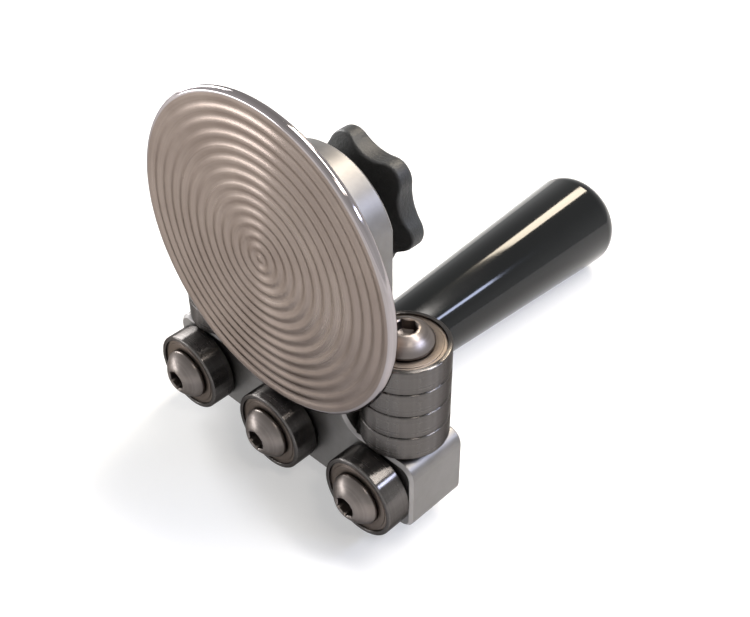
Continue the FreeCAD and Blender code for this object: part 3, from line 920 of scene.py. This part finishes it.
@dataclass
class StarKnob:
    """Moulded star knob, with a hub towards the upright.

    The sizes are in millimetres: distances from its axis, heights along it, and places on
    the tool's y axis where the name ends in y. The rings are shares of the way outwards
    at which the mesh has a row of points.
    """

    tip: float = 18.35
    valley: float = 15.3
    lobes: int = 6
    lobe_radius: float = 5.0
    lobe_angle: float = 47.0
    thickness: float = 7.8
    slope_height: float = 3.2
    hub: float = 10.5
    boss: float = 11.0
    boss_back_y: float = 24.3
    hub_y: float = 11.05
    grip_y: float = 14.35
    bore: float = 8.01
    bore_y: float = 22.81
    front_fillet: float = 1.0
    back_fillet: float = 1.3
    bore_round: float = 0.2
    hub_round: float = 0.4
    boss_foot: float = 0.4
    boss_round: float = 0.6
    inner_round: float = 0.3
    dish: float = 8.6
    dish_floor: float = 8.2
    dish_depth: float = 0.4
    dish_middle: float = 0.3
    height: float = 64.5
    slope_rings: tuple[float, ...] = (0.04, 0.2, 0.5, 0.8)
    back_rings: tuple[float, ...] = (0.66, 0.33, 0.0)
    front_points: int = 9
    back_points: int = 11
    per_lobe: int = 64

    def turns(self) -> np.ndarray:
        """Angles of the star's points, from the first lobe's middle on."""
        return np.arange(self.lobes * self.per_lobe) * TAU / (self.lobes * self.per_lobe)

    def star(self, inset: float) -> np.ndarray:
        """Points of the star, evenly spaced in angle, moved inwards along its normals.

        A lobe is a circle of the lobe radius whose outermost point is on the tip circle.
        Two lobes are joined by a hollow circle, centred between them outside, that
        touches both and whose innermost point is on the valley circle. Along each ray
        from the middle, the lobe's far crossing holds up to where the circles touch,
        and the hollow's near crossing holds past it. Moved inwards, the lobe's radius
        shrinks and the hollow's grows by the inset.

        Args:
            inset: How far inwards.

        Returns:
            Rows of x and y.
        """
        lobe_at = self.tip - self.lobe_radius
        half = math.pi / self.lobes
        reach = lobe_at * math.cos(half)
        hollow = ((lobe_at ** 2 + self.valley ** 2 - 2.0 * self.valley * reach
                   - self.lobe_radius ** 2) / (2.0 * (self.lobe_radius + reach - self.valley)))
        hollow_at = self.valley + hollow
        small, large = self.lobe_radius - inset, hollow + inset
        gap = np.array([hollow_at * math.cos(half) - lobe_at, hollow_at * math.sin(half)])
        touch = np.array([lobe_at, 0.0]) + gap / np.linalg.norm(gap) * small
        switch = math.atan2(touch[1], touch[0])
        angle = self.turns()
        off = np.abs((angle + half) % (2.0 * half) - half)
        lobe = lobe_at * np.cos(off) + np.sqrt(
            np.maximum(small ** 2 - (lobe_at * np.sin(off)) ** 2, 0.0))
        away = half - off
        bowl = hollow_at * np.cos(away) - np.sqrt(
            np.maximum(large ** 2 - (hollow_at * np.sin(away)) ** 2, 0.0))
        distance = np.where(off <= switch, lobe, bowl)
        turn = angle + math.radians(self.lobe_angle)
        return np.stack([distance * np.cos(turn), distance * np.sin(turn)], axis=1)

    def slope(self, spots: np.ndarray) -> np.ndarray:
        """Height of the sloped front, which rises in a line from the hub's edge to the tips.

        Args:
            spots: Rows of x and y.

        Returns:
            A height for each row.
        """
        away = np.maximum(np.hypot(spots[:, 0], spots[:, 1]) - self.hub, 0.0)
        return self.grip_y - self.hub_y + away / (self.tip - self.hub) * self.slope_height

    def surface(self) -> Surface:
        """The knob from the bottom of its bore, over the hub, slope and lobes, to its boss.

        The front fillet is an arc that starts in line with the slope, an angle b from
        the lobes' plane, and ends in line with the lobes' sides: at each angle t from b to
        a quarter turn the star is moved inwards by f (1 - sin t), and is f cos t nearer
        the front than the arc's end.

        Returns:
            The knob's surface.
        """
        back = self.grip_y - self.hub_y + self.thickness
        boss_back = self.boss_back_y - self.hub_y
        turn = self.turns() + math.radians(self.lobe_angle)
        ring = np.stack([np.cos(turn), np.sin(turn)], axis=1)
        flat = np.ones(len(ring))
        inner = rounded([(self.bore, self.bore_y - self.hub_y, 0.0),
                         (self.bore, 0.0, self.bore_round), (self.hub, 0.0, self.hub_round),
                         (self.hub, self.grip_y - self.hub_y, 0.0)], ring=False)
        levels = [(ring * radius, flat * height) for radius, height in inner]
        lean = math.atan2(self.slope_height, self.tip - self.hub)
        inside = self.star(self.front_fillet * (1.0 - math.sin(lean)))
        for share in self.slope_rings:
            spots = inside * share + ring * self.hub * (1.0 - share)
            levels.append((spots, self.slope(spots)))
        side = self.slope(inside) + self.front_fillet * math.cos(lean)
        for step in np.linspace(lean, math.pi / 2.0, self.front_points):
            levels.append((self.star(self.front_fillet * (1.0 - math.sin(step))),
                           side - self.front_fillet * math.cos(step)))
        for step in np.linspace(0.0, math.pi / 2.0, self.back_points):
            levels.append((self.star(self.back_fillet * (1.0 - math.cos(step))),
                           flat * (back - self.back_fillet * (1.0 - math.sin(step)))))
        top = self.star(self.back_fillet)
        foot, dish_at = self.boss + self.boss_foot, boss_back - self.dish_depth
        levels += [(top * share + ring * foot * (1.0 - share), flat * back)
                   for share in self.back_rings]
        boss = rounded([(foot, back, 0.0), (self.boss, back, self.inner_round),
                        (self.boss, boss_back, self.boss_round),
                        (self.dish, boss_back, self.inner_round),
                        (self.dish_floor, dish_at, self.inner_round),
                        (self.dish_middle, dish_at, 0.0)], ring=False)
        levels += [(ring * radius, flat * height) for radius, height in boss[1:]]
        rows = np.stack([np.column_stack([spots, height]) for spots, height in levels])
        rows[:, :, 1] *= -1.0
        return lofted(rows, Facing.BACK, (0.0, self.hub_y, self.height), ring=False)

    def build(self) -> None:
        """Build the knob and dress its insert."""
        show(self.surface().piece("knob_grip_moulded"), "star_knob", TEXTURED_NYLON,
             "knob_plastic", "knob_grip")
        paint("knob_insert", TURNED_BRASS)


@dataclass
class Handle:
    """Tapered handle with a rounded end, on its stud. The sizes are in millimetres."""

    length: float = 107.0
    neck: float = 9.0
    end: float = 14.5
    rounding: float = 5.5
    neck_edge: float = 0.6
    bore: float = 4.0
    bore_depth: float = 32.5
    bore_middle: float = 0.3
    neck_run: float = 4.0
    neck_growth: float = 0.2
    end_rings: tuple[float, float] = (0.7, 0.3)
    end_steps: int = 28
    back_y: float = 9.25
    height: float = 9.0
    segments: int = 192

    def surface(self) -> Surface:
        """The handle: a straight taper that runs into the end's round in a tangent.

        The end's flat has mesh rings at the shares of its radius that end_rings gives.

        Returns:
            The handle's surface.
        """
        lean = math.atan2(self.end - self.neck, self.length - self.rounding)
        centre = (self.end - self.rounding, self.length - self.rounding)
        start = rounded([(self.bore_middle, self.bore_depth, 0.0),
                         (self.bore, self.bore_depth, 0.0), (self.bore, 0.0, 0.0),
                         (self.neck, 0.0, self.neck_edge),
                         (self.neck + self.neck_growth, self.neck_run, 0.0)], ring=False)[:-1]
        round_end = arc(centre, self.rounding, -lean, math.pi / 2.0, self.end_steps)
        end = np.array([[share * centre[0], self.length] for share in self.end_rings])
        outline = np.concatenate([start, round_end, end])
        return turned(outline, self.segments, Facing.BACK, (0.0, self.back_y, self.height),
                      ring=False)

    def build(self) -> None:
        """Build the handle and dress its stud."""
        show(self.surface().piece("handle_grip_polished"), "body", POLISHED_PHENOLIC,
             "handle_plastic", "handle_grip")
        paint("handle_stud", PLATED_STEEL)


@dataclass
class Body:
    """Base bar and upright, its edges broken slightly and its chamfers milled, with a painted
    highlight on them.

    Attributes:
        broken_edge: Width of the broken edges in millimetres.
        least_edge: Least angle between the faces of such an edge.
        joined_within: Points nearer than this are joined, in millimetres.
        flat_within: Triangles at less than this angle become one face.
        chamfer_share: Share of a chamfer's normal that points forwards or backwards.
        edge_steps: Spans across a broken edge.
    """

    broken_edge: float = 0.12
    least_edge: float = math.radians(25.0)
    joined_within: float = 0.002
    flat_within: float = math.radians(0.5)
    chamfer_share: tuple[float, float] = (0.5, 0.9)
    edge_steps: int = 2

    def build(self) -> None:
        """Copy the node, join its triangles, break its edges and dress it."""
        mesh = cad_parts["body"].data.copy()
        work = bmesh.new()
        work.from_mesh(mesh)
        bmesh.ops.remove_doubles(work, verts=work.verts, dist=self.joined_within * MM)
        bmesh.ops.dissolve_limit(work, angle_limit=self.flat_within, verts=work.verts,
                                 edges=work.edges)
        for face in work.faces:
            face.smooth = True
        work.to_mesh(mesh)
        work.free()
        mesh.name = "body_milled"
        mesh.set_sharp_from_angle(angle=self.least_edge)
        piece = in_scene("body_milled", mesh)
        mesh.materials.clear()
        show(piece, "body", BLASTED_ALUMINIUM, "body_aluminium", "body")
        # Front and back chamfers take a brighter colour: their milled finish, with a painted
        # highlight for the light that they catch
        mesh.materials.append(MILLED_CHAMFER_HIGHLIGHT.material())
        normals = np.empty(len(mesh.polygons) * 3)
        mesh.polygons.foreach_get("normal", normals)
        forward = np.abs(normals.reshape(-1, 3)[:, 1])
        least, most = self.chamfer_share
        chamfer = (forward > least) & (forward < most)
        mesh.polygons.foreach_set("material_index", chamfer.astype(int))
        edge = piece.modifiers.new("broken_edges", "BEVEL")
        edge.width = self.broken_edge * MM
        edge.segments = self.edge_steps
        edge.limit_method = "ANGLE"
        edge.angle_limit = self.least_edge
        edge.harden_normals = True


@dataclass
class Tool:
    """The whole tool: where its rollers and screws stand, in millimetres.

    The dictionary gives a finish to each node that is shown as it is.
    """

    roller_pitch: float = 32.0
    roller_height: float = 10.0
    roller_back_y: float = -9.75
    stack_x: float = 32.0
    stack_foot: float = 22.0
    stack_count: int = 4
    bearing_width: float = 7.0
    roller_screw: float = 16.0
    stack_screw: float = 35.0
    hidden: dict[str, Finish] = field(default_factory=lambda: {
        "disc_spindle": PLATED_STEEL, "spindle_clip": PLATED_STEEL, "thrust_washer": NYLON,
        "slide_sleeve": PLATED_STEEL, "clamp_washer": PLATED_STEEL,
        "front_roller_inner_rings": PLATED_STEEL, "front_roller_spacers": PLATED_STEEL,
        "left_stack_inner_rings": PLATED_STEEL, "right_stack_inner_rings": PLATED_STEEL,
        "stack_washers": PLATED_STEEL})

    def build(self) -> None:
        """Build every sub-assembly in order."""
        Body().build()
        BenderDisc().build()
        StarKnob().build()
        Handle().build()
        columns = {"left": -self.roller_pitch, "middle": 0.0, "right": self.roller_pitch}
        for name, x in columns.items():
            Bearing(f"front_roller_{name}", Facing.FRONT,
                    (x, self.roller_back_y, self.roller_height)).build()
        head_y = self.roller_back_y - self.bearing_width
        ButtonScrews("front_roller_screws", Facing.FRONT,
                     [(x, head_y, self.roller_height) for x in columns.values()],
                     self.roller_screw).build()
        sides = {"left": -self.stack_x, "right": self.stack_x}
        for side, x in sides.items():
            for level in range(self.stack_count):
                foot = self.stack_foot + level * self.bearing_width
                Bearing(f"{side}_stack_roller_{level + 1}", Facing.UP, (x, 0.0, foot)).build()
        top = self.stack_foot + self.stack_count * self.bearing_width
        ButtonScrews("stack_screws", Facing.UP,
                     [(x, 0.0, top) for x in sides.values()], self.stack_screw).build()
        for node, finish in self.hidden.items():
            paint(node, finish)


@dataclass
class PhotoCamera:
    """Camera at the photograph's place, for a picture 750 wide and 617 high, whose size is not set
    here.

    Attributes:
        place: Where it stands, in millimetres.
        azimuth: Angle round the upright line, in degrees.
        elevation: Angle that it looks down by, in degrees.
        roll: Angle that it is rolled by, in degrees.
        focal: Distance of the picture in units of one of the photograph's pixels.
        width: Width of the picture in those pixels.
        sensor: Width of the camera's sensor in millimetres.
        clip: Nearest and farthest distance that it sees, in metres.
    """

    place: Point = (172.3, -152.85, 234.2)
    azimuth: float = 44.44
    elevation: float = 40.09
    roll: float = -0.58
    focal: float = 1217.3
    width: float = 750.0
    sensor: float = 36.0
    clip: tuple[float, float] = (0.01, 50.0)

    def build(self) -> None:
        """Set the camera up.

        It looks along (-sin a cos e, cos a cos e, -sin e) for its azimuth a and
        elevation e, and is then rolled about that line.
        """
        a, e = math.radians(self.azimuth), math.radians(self.elevation)
        ahead = Vector((-math.sin(a) * math.cos(e), math.cos(a) * math.cos(e), -math.sin(e)))
        right = ahead.cross(Vector((0.0, 0.0, 1.0))).normalized()
        up = right.cross(ahead)
        turn = math.radians(self.roll)
        rolled = right * math.cos(turn) + up * math.sin(turn)
        upright = rolled.cross(ahead)
        axes = Matrix((rolled, upright, -ahead)).transposed().to_4x4()
        data = bpy.data.cameras.new("photo_camera")
        data.sensor_width = self.sensor
        data.sensor_fit = "HORIZONTAL"
        data.lens = self.focal / self.width * self.sensor
        data.clip_start, data.clip_end = self.clip
        camera = in_scene("photo_camera", data)
        camera.matrix_world = Matrix.Translation(Vector(self.place) * MM) @ axes
        bpy.context.scene.camera = camera


@dataclass
class Lamp:
    """A soft rectangular lamp.

    Attributes:
        name: Its name.
        place: Where it hangs, in millimetres.
        size: Its width and height in millimetres.
        power: Its power in watts.
        colour: sRGB colour of its light.
        target: Where it points.
        upright: Line that its height runs along.
    """

    name: str
    place: Point
    size: tuple[float, float]
    power: float
    colour: str = "ffffff"
    target: Point = (0.0, 20.0, 45.0)
    upright: Point = (0.0, 0.0, 1.0)

    def build(self) -> None:
        """Hang the lamp and point it at the tool, with its height along its upright line."""
        data = bpy.data.lights.new(self.name, "AREA")
        data.shape = "RECTANGLE"
        data.size, data.size_y = self.size[0] * MM, self.size[1] * MM
        data.energy = self.power
        data.color = linear(self.colour)[:3]
        made = in_scene(self.name, data)
        made.location = Vector(self.place) * MM
        back = (Vector(self.place) - Vector(self.target)).normalized()
        across = Vector(self.upright).cross(back).normalized()
        made.rotation_euler = Matrix((across, back.cross(across), back)).transposed().to_euler()


@dataclass
class Studio:
    """Pale floor, pale surroundings and plain soft lamps.

    Attributes:
        floor_z: Height of the floor in millimetres, just under the tool.
        floor_size: Its width in millimetres.
        floor_colour: Its sRGB colour.
        floor_lift: How much lighter the eye sees it near the tool.
        floor_near: Distance from the tool where it starts to fade to white.
        floor_far: Distance where it is white.
        surround: Strength of the light from all round.
        backdrop: What the eye sees round about, from level to straight up.
        lamps: The lamps.
    """

    floor_z: float = -5.6
    floor_size: float = 4000.0
    floor_colour: str = "cfcfcf"
    floor_lift: float = 0.4
    floor_near: float = 260.0
    floor_far: float = 700.0
    surround: float = 0.2
    backdrop: Stops = (
        (0.0, "ffffff"), (0.25, "f4f4f4"), (0.6, "d2d1d0"), (1.0, "c4c3c2"))
    lamps: tuple[Lamp, ...] = (
        Lamp("overhead", (-95.0, 545.0, 625.0), (190.0, 180.0), 3.2, "fff1da"),
        Lamp("ceiling", (160.0, 290.0, 760.0), (680.0, 140.0), 7.0, "fffaf4",
             upright=(0.0, 1.0, 0.0)),
        Lamp("room", (430.0, -120.0, 700.0), (150.0, 110.0), 0.8, "fff6ec"),
        Lamp("right_window", (410.0, 205.0, 390.0), (60.0, 290.0), 1.4, "d5dfff",
             upright=(0.0, 1.0, 0.0)),
        Lamp("left_window", (-690.0, 110.0, 250.0), (240.0, 460.0), 6.6),
        Lamp("left_low", (-300.0, -240.0, 45.0), (260.0, 45.0), 0.5))

    @staticmethod
    def shown_to_eye(tree: Tree) -> Socket:
        """Give one for rays from the camera, from gloss and through glass, and nought for others.

        Args:
            tree: The node tree.

        Returns:
            The socket that gives it.
        """
        path = add(tree, "ShaderNodeLightPath").outputs
        first = calc(tree, "MAXIMUM", path["Is Camera Ray"], path["Is Glossy Ray"])
        return calc(tree, "MAXIMUM", first, path["Is Transmission Ray"])

    def floor(self) -> None:
        """Lay the floor, lighter for the eye than for the tool, and white farther away."""
        half = self.floor_size * MM / 2.0
        z = self.floor_z * MM
        mesh = bpy.data.meshes.new("floor")
        mesh.from_pydata([(-half, -half, z), (half, -half, z), (half, half, z), (-half, half, z)],
                         [], [(0, 1, 2, 3)])
        made = in_scene("floor", mesh)
        material = bpy.data.materials.new("pale_floor")
        tree = fresh_tree(material)
        matt = add(tree, "ShaderNodeBsdfDiffuse", Color=linear(self.floor_colour))
        glow = add(tree, "ShaderNodeEmission", Color=linear("ffffff"))
        spot = add(tree, "ShaderNodeTexCoord").outputs["Object"]
        away = add(tree, "ShaderNodeVectorMath", {"operation": "LENGTH"}, i0=spot).outputs["Value"]
        fade = add(tree, "ShaderNodeMapRange", {"interpolation_type": "SMOOTHSTEP"}, i0=away,
                   i1=self.floor_near * MM, i2=self.floor_far * MM, i3=self.floor_lift, i4=1.0)
        lift = calc(tree, "MULTIPLY", self.shown_to_eye(tree), fade.outputs[0])
        tree.links.new(lift, glow.inputs["Strength"])
        both = add(tree, "ShaderNodeAddShader", i0=matt.outputs[0], i1=glow.outputs[0])
        output = add(tree, "ShaderNodeOutputMaterial")
        tree.links.new(both.outputs[0], output.inputs["Surface"])
        mesh.materials.append(material)

    def surroundings(self) -> None:
        """Light all round: a white backdrop to the eye, greyer towards the ceiling."""
        world = bpy.data.worlds.new("surroundings")
        bpy.context.scene.world = world
        tree = fresh_tree(world)
        way = add(tree, "ShaderNodeTexCoord").outputs["Generated"]
        up = add(tree, "ShaderNodeSeparateXYZ", Vector=way).outputs["Z"]
        shade = ramp(tree, up, self.backdrop)
        seen = add(tree, "ShaderNodeBackground", Color=shade, Strength=1.0)
        light = add(tree, "ShaderNodeBackground", Color=linear("ffffff"), Strength=self.surround)
        mixed = add(tree, "ShaderNodeMixShader", Fac=self.shown_to_eye(tree),
                    i1=light.outputs[0], i2=seen.outputs[0])
        output = add(tree, "ShaderNodeOutputWorld")
        tree.links.new(mixed.outputs[0], output.inputs["Surface"])

    def build(self) -> None:
        """Set the floor, the surroundings and the lamps."""
        bpy.context.scene.view_settings.view_transform = "Standard"
        self.floor()
        self.surroundings()
        for lamp in self.lamps:
            lamp.build()


def main() -> None:
    """Build the camera, the studio and the tool."""
    logging.basicConfig(level=logging.INFO, format="%(message)s")
    PhotoCamera().build()
    Studio().build()
    Tool().build()


if __name__ == "__main__":
    main()
